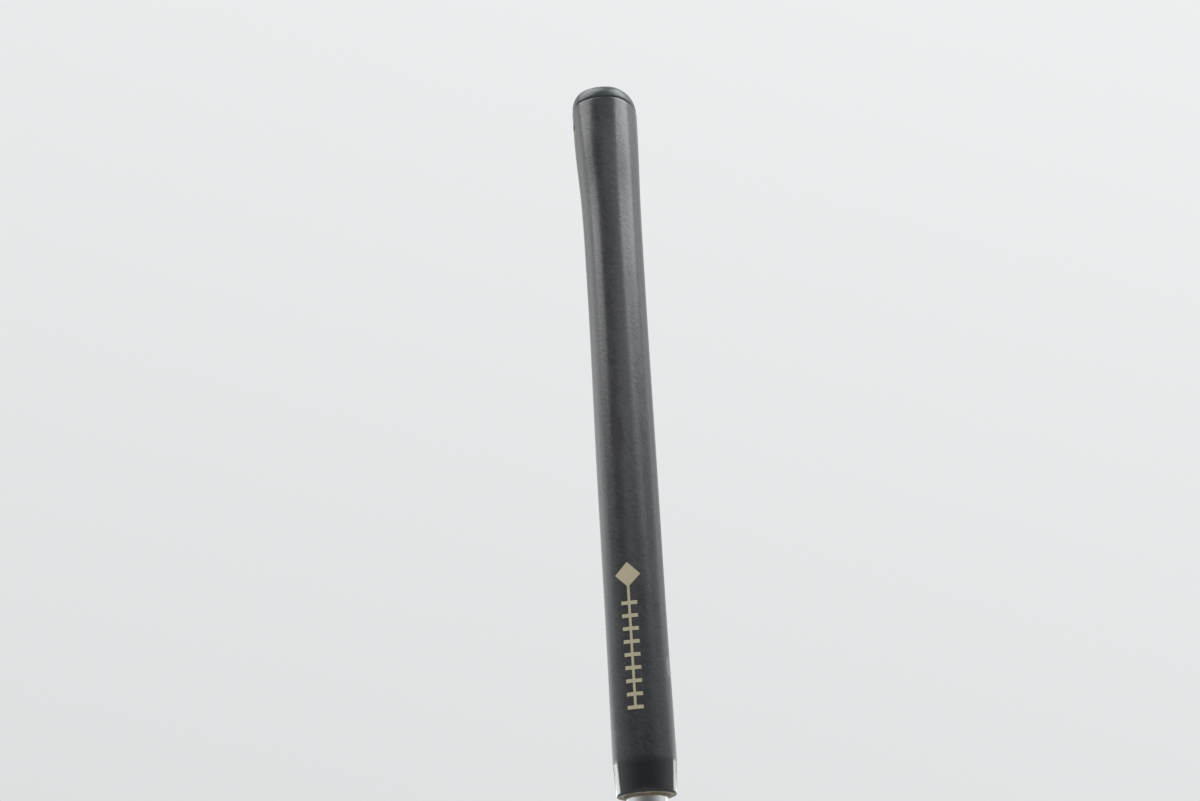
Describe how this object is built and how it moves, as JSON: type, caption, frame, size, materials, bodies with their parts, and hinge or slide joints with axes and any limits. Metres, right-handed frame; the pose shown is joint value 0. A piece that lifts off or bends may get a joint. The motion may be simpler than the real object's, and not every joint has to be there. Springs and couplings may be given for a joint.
{
  "type": "putter",
  "caption": "Golf putter: black rubber pistol grip with flat front and end cap, chromed stepped shaft, offset neck and steel blade head with face insert and sole weights.",
  "frame": {"origin": "point on the shaft's axis at the middle of the grip, where the hands hold the club", "axes": "+Z along the shaft towards the butt, +X towards the target (the side the face looks to), -Y towards the toe and the grip's flat front"},
  "size_m": [0.0458, 0.1139, 0.9185],
  "materials": {
    "grip_rubber": "satin, fine texture",
    "cap_rubber": "satin",
    "mark_gold": "satin gold fill",
    "tape": "matte",
    "shaft_chrome": "polished",
    "adhesive": "glossy",
    "neck_steel": "satin",
    "head_steel": "satin",
    "insert_metal": "milled, matte",
    "bed_rubber": "matte",
    "weight_steel": "turned",
    "line_paint": "glossy paint"
  },
  "bodies": {
    "root": {"grip_sleeve": "grip_rubber", "grip_end_cap": "cap_rubber", "grip_mark": "mark_gold", "grip_tape": "tape", "shaft": "shaft_chrome", "hosel_adhesive": "adhesive", "neck": "neck_steel", "head_body": "head_steel", "insert_bed": "bed_rubber", "face_insert": "insert_metal", "sole_weight_heel": "weight_steel", "sole_weight_toe": "weight_steel", "sight_line": "line_paint"}
  },
  "joints": []
}
